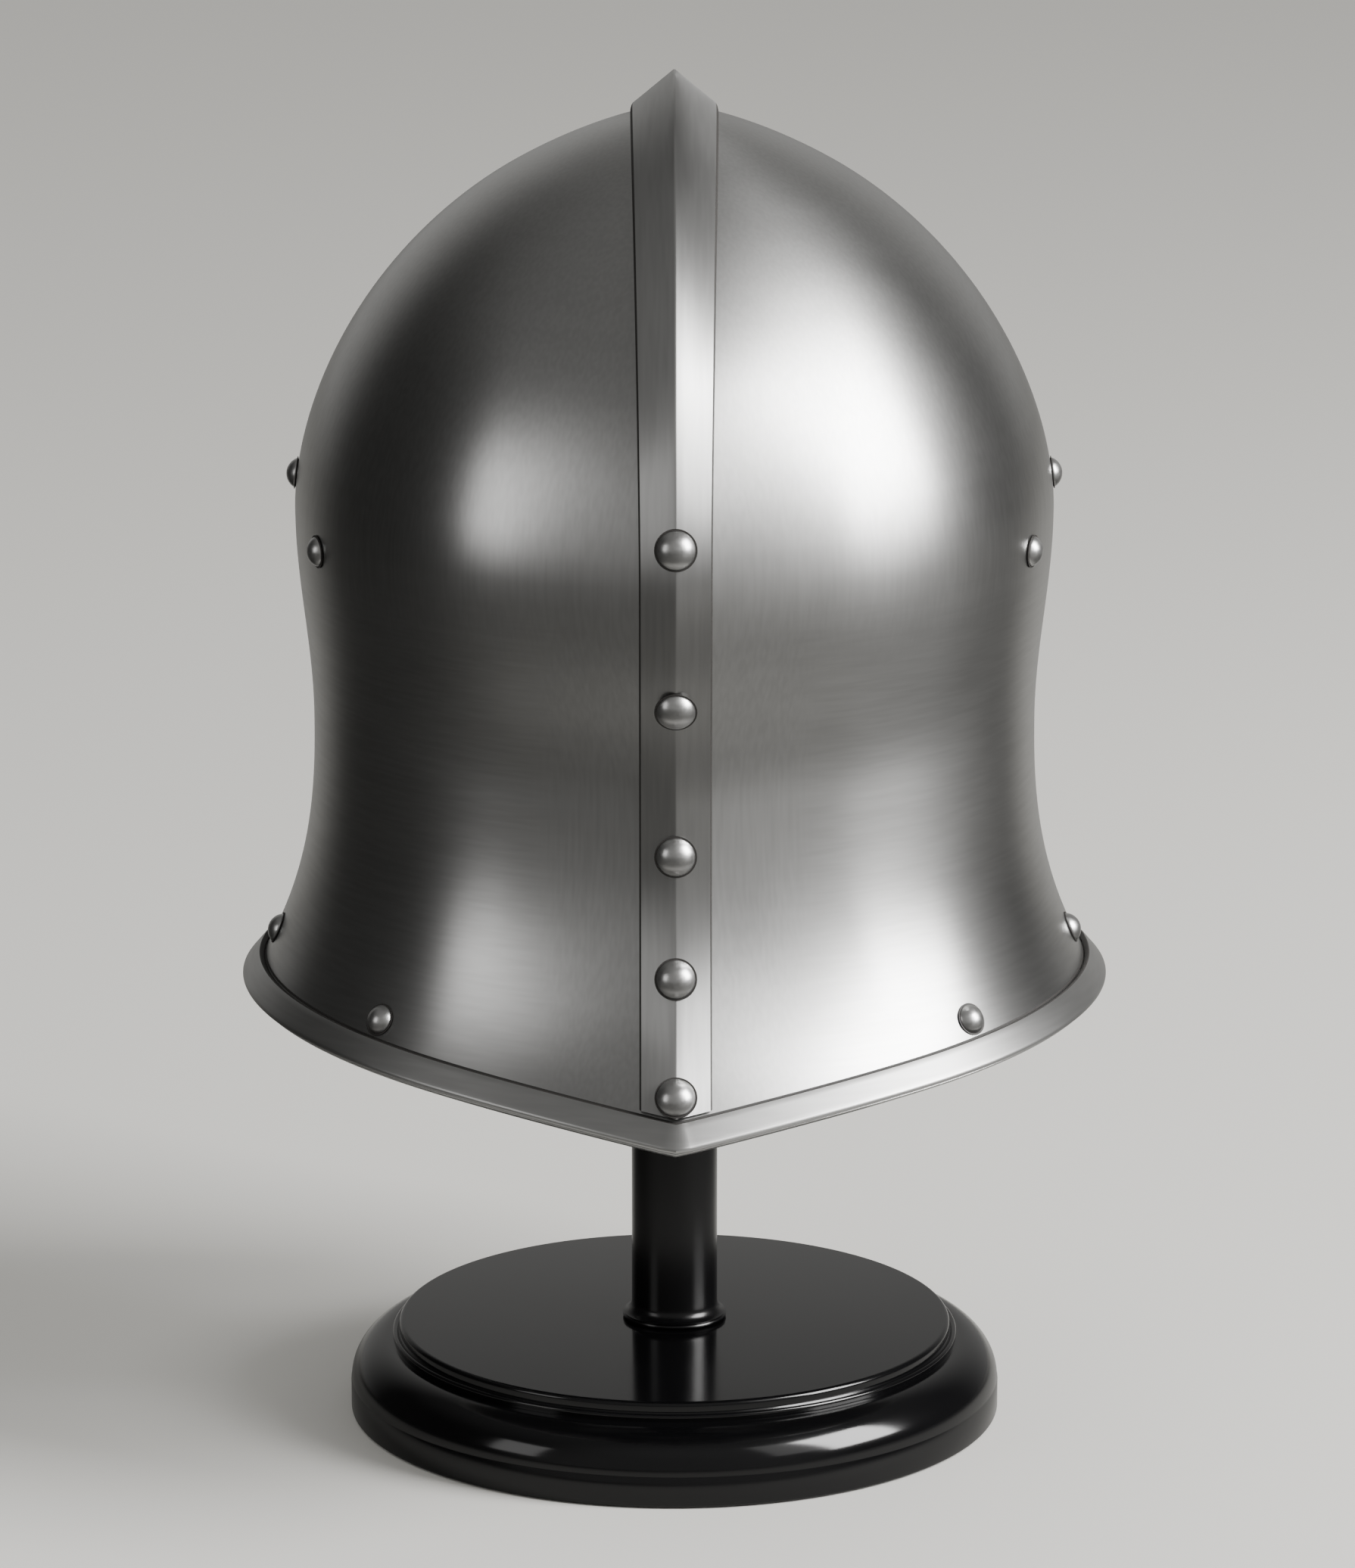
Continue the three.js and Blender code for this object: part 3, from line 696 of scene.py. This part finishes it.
def ridge_frame(skull, trim, v, behind):
    """Crest and edge of the ridge band at a station, with what stands over them."""
    row = level(skull, v)
    crest = skull_point(skull, v, -math.pi / 2.0 if behind else math.pi / 2.0)
    crown = row.up ** 4
    half = (trim.ridge_width + trim.ridge_crown_wider * row.up ** 2) / 2.0
    edge = surface_beside(skull, v, behind, half)
    normal = Vector((0.0, (-1.0 if behind else 1.0) * row.out, row.up))
    rest = trim.gap + trim.ridge_crown_clear * crown
    top = trim.gap + trim.ridge_crown_higher * crown
    return SimpleNamespace(crest=crest, edge=edge, half=half, normal=normal, rest=rest, top=top)


def crest_place(skull, trim, z, behind):
    """The place on the ridge band's crest at a height, with its outward and upward directions."""
    stations = [item for item in ridge_stations(skull, trim) if item[1] == behind]
    spots = []
    for v, side in stations:
        station = ridge_frame(skull, trim, v, side)
        crest = station.crest + station.normal * (station.top + trim.strip)
        edge = station.edge + station.normal * (station.rest + trim.strip)
        spots.append((crest, edge, station.half))
    for (a, ea, wide), (b, _, _) in zip(spots, spots[1:]):
        if (a.z - z) * (b.z - z) > 0.0:
            continue
        along = (b - a).normalized()
        if along.z < 0.0:
            along.negate()
        out = Vector((0.0, -along.z, along.y)) if behind else Vector((0.0, along.z, -along.y))
        fall = (a - ea).dot(out) / wide
        return SimpleNamespace(point=a.lerp(b, (z - a.z) / (b.z - a.z)), out=out, along=along, fall=fall)
    raise RuntimeError("the ridge band has no crest at this height")


def wall_place(skull, z, degrees_behind, right):
    """The place on the skull's wall at a height, some degrees behind the side."""
    side = math.radians(degrees_behind)
    angle = -side if right else math.pi + side
    near_crown = 2.9
    apart = 0.02
    v = level_at(skull, angle, z, near_crown)
    across = skull_point(skull, v, angle + apart) - skull_point(skull, v, angle - apart)
    upward = skull_point(skull, v + apart, angle) - skull_point(skull, v - apart, angle)
    out = across.cross(upward).normalized()
    point = skull_point(skull, v, angle)
    return SimpleNamespace(point=point, out=out, along=Vector((0.0, 0.0, 1.0)), fall=0.0)


def seat(place):
    """A matrix with its Z out of the surface and its Y along the given direction."""
    x = place.along.cross(place.out).normalized()
    y = place.out.cross(x)
    turn = Matrix((x, y, place.out)).transposed().to_4x4()
    return Matrix.Translation(place.point) @ turn


def rivet_mesh(radius, rise, depth, place):
    """A rivet in millimetres: a satin dome on a ring of painted shade, the shank and the peened inner end.

    On the ridge a skirt under the head is drawn down on both sides to sit astride the crest.
    """
    dome_steps = 12
    dome_foot = 0.5
    ring_width = 0.5
    ring_top = 0.36
    ring_foot = 0.14
    skirt = radius - 0.9
    under_head = -0.1
    shank = 2.5
    peen = 4.0
    peen_edge = 0.6
    peen_thick = 1.4
    dome = radius - ring_width
    high = rise - dome_foot
    ball = (dome * dome + high * high) / (2.0 * high)
    reach = math.asin(min(1.0, dome / ball))
    profile = [(0.0, rise)]
    for i in range(1, dome_steps + 1):
        angle = reach * i / dome_steps
        profile.append((ball * math.sin(angle), dome_foot + high - ball + ball * math.cos(angle)))
    profile += [(dome - 0.02, ring_top - 0.02), (radius, ring_top), (radius, ring_foot)]
    profile += [(skirt, under_head), (shank, under_head - 0.01), (shank, -depth)]
    profile += [(peen, -depth), (peen, -depth - peen_edge)]
    profile += [(0.7 * peen, -depth - peen_thick), (0.0, -depth - peen_thick)]
    bm = turned(profile, 40)
    # the ring and everything below the dome wear painted shade, a contact shadow round the head
    for face in bm.faces:
        if face.calc_center_median().z * 1000.0 < dome_foot - 0.1:
            face.material_index = 1
    for vert in bm.verts:
        away = vert.co.to_2d().length * 1000.0
        if -0.5 < vert.co.z * 1000.0 < 0.0 and away > shank + 0.1:
            vert.co.z -= abs(vert.co.x) * place.fall
    bmesh.ops.transform(bm, matrix=seat(place), verts=bm.verts)
    bmesh.ops.recalc_face_normals(bm, faces=bm.faces)
    return bm


# Operators

def sizes(context):
    """The scene's skull, trim, stand and look."""
    return tuple(getattr(context.scene, name) for name in GROUPS)


class BARBUTE_OT_shell(bpy.types.Operator):
    """Builds the one-piece steel skull with its turned-out lip and open face"""

    bl_idname = "barbute.shell"
    bl_label = "Skull"

    def execute(self, context):
        skull, trim, _, look = sizes(context)
        count = 288
        lip_rows = 4
        seam_level = 0.008
        flare_rows, wall_rows, dome_rows = 34, 24, 54
        edge_radius = 0.00045
        fold = ring(skull, 0.0, count)
        rows = [lip_ring(fold, trim, trim.lip_width * k / lip_rows, 0.0) for k in range(lip_rows, 0, -1)]
        rows += [fold, ring(skull, seam_level, count)]
        rows += [ring(skull, i / flare_rows, count) for i in range(1, flare_rows)]
        rows += [ring(skull, 1.0 + i / wall_rows, count) for i in range(wall_rows)]
        rows += [ring(skull, 2.0 + i / dome_rows, count) for i in range(dome_rows)]
        crown = Vector((0.0, 0.0, level(skull, 2.0).z + skull.dome_height + skull.crown_keel))
        rows.append([crown] * count)
        # the dark row is painted shade: the shadowed seam that shows over the strip
        bm = draped_grid(rows, dark_rows=(lip_rows,))
        cut_face(bm, skull, face_outline(skull, trim))
        bmesh.ops.recalc_face_normals(bm, faces=bm.faces)
        bmesh.ops.solidify(bm, geom=bm.faces[:], thickness=skull.wall)
        round_hard_edges(bm, edge_radius)
        steel = brushed_mild_steel(
            look, "brushed_mild_steel_skull", (65.0, 65.0, 850.0), 0.25, 0.315, (850.0, 850.0, 50.0),
        )
        finish_piece("skull", bm, [steel, seam_shade_material(look)], "shell")
        return {"FINISHED"}


class BARBUTE_OT_rim(bpy.types.Operator):
    """Builds the flared strip along the lower edge, with its rolled outer corner"""

    bl_idname = "barbute.rim"
    bl_label = "Rim strip"

    def execute(self, context):
        skull, trim, _, look = sizes(context)
        count = 432
        fold = ring(skull, 0.0, count)
        low = trim.gap
        high = trim.gap + trim.strip
        wide = trim.lip_width
        roll = 0.0011
        eased = 0.0004
        # the section as width down the lip and height off it: first the edge in the seam, painted dark as
        # shade
        section = [(low, low), (low, high - eased), (low + 0.25 * eased, high - 0.3 * eased)]
        section.append((low + eased, high))
        section += [(mix(low, wide, k), high) for k in (0.25, 0.5, 0.75)]
        for i in range(7):
            angle = math.radians(90.0 - 15.0 * i)
            section.append((wide - roll + roll * math.cos(angle), high - roll + roll * math.sin(angle)))
        section += [(wide, low + 0.0001), (wide - 0.0001, low), (mix(low, wide, 0.5), low)]
        bm = draped_grid([lip_ring(fold, trim, u, n) for u, n in section], True, dark_rows=(0, 1, 2))
        slit = trim.slit_half_width
        centres = [(face, face.calc_center_median()) for face in bm.faces]
        doomed = [face for face, centre in centres if centre.y > 0.0 and abs(centre.x) < slit]
        ends = {vert for face in doomed for vert in face.verts}
        bmesh.ops.delete(bm, geom=doomed, context="FACES")
        for vert in ends:
            if vert.is_valid:
                vert.co.x = math.copysign(slit, vert.co.x)
        open_edges = [edge for edge in bm.edges if edge.is_boundary]
        bmesh.ops.holes_fill(bm, edges=open_edges, sides=0)
        bmesh.ops.recalc_face_normals(bm, faces=bm.faces)
        steel = brushed_mild_steel(look, "brushed_mild_steel_strip", (60.0, 60.0, 900.0), 0.25, 0.4)
        finish_piece("rim_strip", bm, [steel, seam_shade_material(look)], "rim_band", crease=40.0)
        return {"FINISHED"}


class BARBUTE_OT_ridge(bpy.types.Operator):
    """Builds the raised ridge band from the tail over the crown to the brow"""

    bl_idname = "barbute.ridge"
    bl_label = "Ridge band"

    def execute(self, context):
        skull, trim, _, look = sizes(context)
        # the crest is a filed edge, a little blunt, and the sides are eased over the seam of painted shade,
        # both as shares of the half-width
        blunt = 0.035
        eased = 0.95
        feather = 0.0011
        outer = (-1.0, -0.98, -eased, -0.75, -0.5, -0.25, -blunt, -0.5 * blunt, 0.0)
        across = [(t, "top") for t in outer] + [(-t, "top") for t in reversed(outer[:-1])]
        across += [(1.0, "under"), (0.5, "under"), (0.0, "under"), (-0.5, "under"), (-1.0, "under")]
        rows = []
        for v, behind in ridge_stations(skull, trim):
            station = ridge_frame(skull, trim, v, behind)
            row = []
            for t, face in across:
                near = 1.0 - abs(t)
                spot = station.edge.lerp(station.crest, near)
                spot.x = station.half * t
                lift = mix(station.rest, station.top, near)
                if face == "top":
                    drop = (station.crest - station.edge).dot(station.normal) + station.top - station.rest
                    lift += trim.strip
                    lift -= drop * max(0.0, blunt - abs(t)) ** 2 / (2.0 * blunt)
                    lift -= feather * (max(0.0, abs(t) - eased) / (1.0 - eased)) ** 2
                row.append(spot + station.normal * lift)
            rows.append(row)
        # the dark columns are painted shade in the seam: both eased edges and the upright sides below them
        last = 2 * len(outer) - 2
        bm = draped_grid(rows, dark_columns=(0, 1, last - 2, last - 1, last, len(across) - 1))
        bmesh.ops.holes_fill(bm, edges=[edge for edge in bm.edges if edge.is_boundary], sides=0)
        bmesh.ops.recalc_face_normals(bm, faces=bm.faces)
        steel = brushed_mild_steel(look, "brushed_mild_steel_ridge", (850.0, 60.0, 60.0), 0.0, 0.315)
        finish_piece("ridge", bm, [steel, seam_shade_material(look)], "ridge_band", crease=18.0)
        return {"FINISHED"}


class BARBUTE_OT_rivets(bpy.types.Operator):
    """Builds every domed rivet on the ridge, at the temples and along the rim"""

    bl_idname = "barbute.rivets"
    bl_label = "Rivets"

    def execute(self, context):
        skull, trim, _, look = sizes(context)
        rim = skull.rim_over_table
        widest = rim + skull.widest_over_rim
        materials = [satin_rivet_steel(look), seam_shade_material(look)]
        # how far each shank runs in to its peened end, in millimetres
        through_ridge = 6.6
        through_wall = 2.2
        # heights over the table: over the widest level, at shares of the wall, and over the tail
        heights = [widest + 0.0131]
        heights += [rim + skull.widest_over_rim * share for share in (0.745, 0.4235, 0.172)]
        heights.append(rim - skull.tail_dip + 0.0069)
        places = [(f"ridge_rivet_{i + 1}", crest_place(skull, trim, z, True)) for i, z in enumerate(heights)]
        places.append(("ridge_rivet_brow", crest_place(skull, trim, widest + 0.0248, False)))
        for node, place in places:
            bm = rivet_mesh(trim.ridge_rivet * 1000, trim.ridge_rise * 1000, through_ridge, place)
            finish_piece(node + "_head", bm, materials, node, crease=40.0)
        # pairs in the wall: height over the table, and degrees behind the side
        walls = (
            ("temple_rivet_upper", widest + 0.0085, 0.0),
            ("temple_rivet_lower", widest - 0.0053, 22.0),
            ("rim_rivet_side", rim + 0.0081, 3.0),
            ("rim_rivet_rear", rim + 0.0018, 44.5),
            ("rim_rivet_cheek", rim + 0.0067, -48.0),
        )
        for name, z, behind in walls:
            for side in ("left", "right"):
                node = f"{name}_{side}"
                place = wall_place(skull, z, behind, side == "right")
                bm = rivet_mesh(trim.small_rivet * 1000, trim.small_rise * 1000, through_wall, place)
                finish_piece(node + "_head", bm, materials, node, crease=40.0)
        return {"FINISHED"}


class BARBUTE_OT_foot(bpy.types.Operator):
    """Turns the stand's round foot with its moulding, bead and plate"""

    bl_idname = "barbute.foot"
    bl_label = "Foot"

    def execute(self, context):
        _, _, stand, look = sizes(context)
        radius = stand.foot_radius * 1000
        edge = stand.foot_edge * 1000
        inner = stand.moulding_radius * 1000
        top = stand.moulding_top * 1000
        plate = stand.plate_radius * 1000
        height = stand.plate_top * 1000
        ledge = top + stand.bead * 1000
        lower_round = 0.8
        bead_round = 0.85
        plate_round = 1.3
        profile = [(0.0, 0.0), (radius - lower_round, 0.0)]
        profile += arc((radius - lower_round, lower_round), (lower_round, lower_round), -90, 0, 4)
        # a small step, then the quarter round
        profile += [(radius, edge - 0.3), (radius - 0.15, edge)]
        profile += arc((inner + 0.3, edge), (radius - inner - 0.45, top - edge), 2, 90, 20)
        # the bead, the groove inside it and the plate with its rounded edge
        profile += [(inner - 0.1, top + 0.1)]
        profile += arc((inner - 0.8, ledge - bead_round), (bead_round, bead_round), -20, 95, 7)
        profile += [(plate + 0.35, ledge - 0.3), (plate + 0.05, ledge + 0.1)]
        profile += arc((plate - plate_round, height - plate_round), (plate_round, plate_round), 0, 90, 8)
        profile += [(0.0, height)]
        bm = turned(profile, 160)
        finish_piece("foot", bm, [black_lacquer(look)], "stand_foot", crease=30.0)
        return {"FINISHED"}


class BARBUTE_OT_post(bpy.types.Operator):
    """Turns the stand's post with its flared collar"""

    bl_idname = "barbute.post"
    bl_label = "Post"

    def execute(self, context):
        _, _, stand, look = sizes(context)
        low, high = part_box("stand_post")
        base = low[2] * 1000
        top = high[2] * 1000
        radius = stand.post_radius * 1000
        collar = stand.collar_radius * 1000
        tall = stand.collar_height * 1000
        lower_round = 0.6
        collar_edge = 1.5
        cove = collar + 0.2
        profile = [(0.0, base), (collar - 0.5, base)]
        profile += arc((collar - lower_round, base + lower_round), (lower_round, lower_round), -90, 75, 5)
        # the collar sweeps in to the post in one small cove
        profile += arc((cove, base + tall), (cove - radius, tall - collar_edge), 262, 180, 10)
        profile += [(radius, base + tall + 0.8), (radius, top - 1.0), (radius - 0.8, top), (0.0, top)]
        bm = turned(profile)
        finish_piece("post", bm, [satin_lacquer(look)], "stand_post", crease=30.0)
        return {"FINISHED"}


class BARBUTE_OT_head(bpy.types.Operator):
    """Turns the plain block that carries the helmet under its crown"""

    bl_idname = "barbute.head"
    bl_label = "Head block"

    def execute(self, context):
        skull, trim, stand, _ = sizes(context)
        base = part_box("stand_head")[0][2] * 1000
        widest = level(skull, 2.0).z * 1000
        half = (skull.half_width - skull.wall) * 1000
        tall = (skull.dome_height - skull.wall) * 1000
        radius = stand.head_radius * 1000
        gap = trim.gap * 1000
        power = 2.0 / skull.dome_power
        start = math.acos((radius / half) ** (1.0 / power))
        neck = 20.0
        side = 5.0
        steps = 24
        profile = [(0.0, base), (neck - 0.8, base), (neck, base + 0.5)]
        rim = widest + tall * math.sin(start) ** power - 1.5 * gap
        profile += [(radius - 1.4 * gap, rim - side), (radius - 1.1 * gap, rim - side + 0.4)]
        # the top follows the inside of the dome, a gap below it
        for i in range(steps):
            angle = mix(start, math.pi / 2.0, i / steps)
            reach = math.cos(angle) ** power
            rise = tall * math.sin(angle) ** power
            profile.append((half * reach - gap, widest + rise - 1.6 * gap))
        profile.append((0.0, widest + tall - 1.6 * gap))
        bm = turned(profile)
        finish_piece("head_block", bm, [matt_black_paint()], "stand_head", crease=30.0)
        return {"FINISHED"}


class BARBUTE_OT_stage(bpy.types.Operator):
    """Lays the pale floor and sets the lamps, the surroundings and the camera"""

    bl_idname = "barbute.stage"
    bl_label = "Stage"

    def execute(self, context):
        _, _, _, look = sizes(context)
        self.floor(context, look)
        self.surroundings(context)
        # a lamp's direction seen from the helmet, in degrees from the camera toward +X and up, then
        # its distance and size in metres, and its power in watts
        self.lamp(context, "soft_box_right", (71.0, 29.0), 2.4, (1.2, 1.5), 152.0)
        self.lamp(context, "fill_right", (46.0, 32.0), 2.4, (0.85, 1.3), 4.5)
        self.lamp(context, "soft_box_left", (-57.5, 16.0), 2.4, (0.76, 1.1), 4.9)
        self.camera(context)
        return {"FINISHED"}

    def floor(self, context, look):
        under_stand = -0.0004
        bm = bmesh.new()
        bmesh.ops.create_circle(bm, cap_ends=True, segments=96, radius=9.0)
        bmesh.ops.translate(bm, verts=bm.verts, vec=(0.0, 0.0, under_stand))
        mesh = bpy.data.meshes.new("floor")
        bm.to_mesh(mesh)
        bm.free()
        material, tree, place = new_material("pale_matt_board")
        # the steel mirrors a darker room than the eye sees round the stand,
        # pale only straight behind it and close to the foot
        toward = add(tree, "ShaderNodeVectorMath", {"operation": "NORMALIZE"}, {0: place})
        around = lobes(tree, toward.outputs["Vector"], 0.035, (
            ("Y", 0.5, 0.95, 0.4),
            ("Y", -0.1, -0.8, 0.06),
            ("X", 0.1, 0.9, 0.03),
        ))
        away = add(tree, "ShaderNodeVectorMath", {"operation": "LENGTH"}, {0: place})
        close = soft_step(tree, away.outputs["Value"], 0.34, 0.12, 0.45)
        mirrored = add(tree, "ShaderNodeMath", {"operation": "ADD"}, {0: around, 1: close})
        tone = add(
            tree, "ShaderNodeVectorMath", {"operation": "SCALE", 0: tuple(look.floor)},
            {"Scale": unless_mirrored(tree, 1.0, mirrored.outputs[0])},
        )
        settings = {"Roughness": 0.9, "Specular IOR Level": 0.1}
        dress(tree, settings, {"Base Color": tone.outputs["Vector"]})
        mesh.materials.append(material)
        floor = bpy.data.objects.new("floor", mesh)
        context.scene.collection.objects.link(floor)

    def surroundings(self, context):
        world = bpy.data.worlds.new("studio")
        context.scene.world = world
        world.use_nodes = True
        tree = world.node_tree
        tree.nodes.clear()
        toward = add(tree, "ShaderNodeTexCoord").outputs["Generated"]
        # the room seen in the steel: pale behind the helmet, mid grey by the camera and overhead,
        # and a little darker to the left than to the right
        room = lobes(tree, toward, 0.025, (
            ("Y", 0.55, 0.98, 0.36),
            ("Y", -0.3, -0.85, 0.24),
            ("Z", 0.45, 0.95, 0.15),
            ("X", 0.0, 1.0, 0.03),
        ))
        strength = unless_mirrored(tree, 0.62, room)
        light = add(tree, "ShaderNodeBackground", {"Color": linear("#F4F3F0")}, {"Strength": strength})
        add(tree, "ShaderNodeOutputWorld", links={"Surface": light.outputs["Background"]})

    def lamp(self, context, name, toward, distance, size, power):
        data = bpy.data.lights.new(name, "AREA")
        data.shape = "RECTANGLE"
        data.size = size[0]
        data.size_y = size[1]
        data.energy = power
        data.color = linear("#FFFEFD")[:3]
        lamp = bpy.data.objects.new(name, data)
        around = math.radians(toward[0])
        up = math.radians(toward[1])
        out = Vector((math.cos(up) * math.sin(around), -math.cos(up) * math.cos(around), math.sin(up)))
        helmet = Vector((0.0, 0.0, 0.25))
        lamp.location = helmet + out * distance
        lamp.rotation_euler = out.to_track_quat("Z", "Y").to_euler()
        lamp.visible_camera = False
        context.scene.collection.objects.link(lamp)

    def camera(self, context):
        data = bpy.data.cameras.new("photo_view")
        data.sensor_fit = "VERTICAL"
        data.sensor_height = 36.0
        data.lens = 184.0
        data.clip_end = 50.0
        camera = bpy.data.objects.new("photo_view", data)
        # the photo's view: degrees round to the side and down, and metres from the axis and the floor
        turn = math.radians(-0.2)
        down = math.radians(14.2)
        distance = 2.28
        height = 0.7674
        sideways = 0.0009
        camera.location = (distance * math.sin(turn) + sideways, -distance * math.cos(turn), height)
        camera.rotation_euler = (math.pi / 2.0 - down, 0.0, turn)
        context.scene.collection.objects.link(camera)
        context.scene.camera = camera


class BARBUTE_PT_panel(bpy.types.Panel):
    """Lists the helmet's operators and sizes"""

    bl_idname = "BARBUTE_PT_panel"
    bl_label = "Barbute"
    bl_space_type = "VIEW_3D"
    bl_region_type = "UI"
    bl_category = "Barbute"

    def draw(self, context):
        layout = self.layout
        for operator in OPERATORS:
            layout.operator(operator.bl_idname)
        for group in sizes(context):
            box = layout.box()
            for name in group.bl_rna.properties.keys():
                if name not in ("rna_type", "name"):
                    box.prop(group, name)


GROUPS = {
    "barbute_skull": BarbuteSkull,
    "barbute_trim": BarbuteTrim,
    "barbute_stand": BarbuteStand,
    "barbute_look": BarbuteLook,
}
OPERATORS = (
    BARBUTE_OT_shell,
    BARBUTE_OT_rim,
    BARBUTE_OT_ridge,
    BARBUTE_OT_rivets,
    BARBUTE_OT_foot,
    BARBUTE_OT_post,
    BARBUTE_OT_head,
    BARBUTE_OT_stage,
)
CLASSES = (*GROUPS.values(), *OPERATORS, BARBUTE_PT_panel)


def register():
    for item in CLASSES:
        bpy.utils.register_class(item)
    for name, group in GROUPS.items():
        setattr(bpy.types.Scene, name, PointerProperty(type=group))


def unregister():
    for name in GROUPS:
        delattr(bpy.types.Scene, name)
    for item in reversed(CLASSES):
        bpy.utils.unregister_class(item)


def main():
    register()
    bpy.ops.barbute.shell()
    bpy.ops.barbute.rim()
    bpy.ops.barbute.ridge()
    bpy.ops.barbute.rivets()
    bpy.ops.barbute.foot()
    bpy.ops.barbute.post()
    bpy.ops.barbute.head()
    bpy.ops.barbute.stage()


if __name__ == "__main__":
    main()
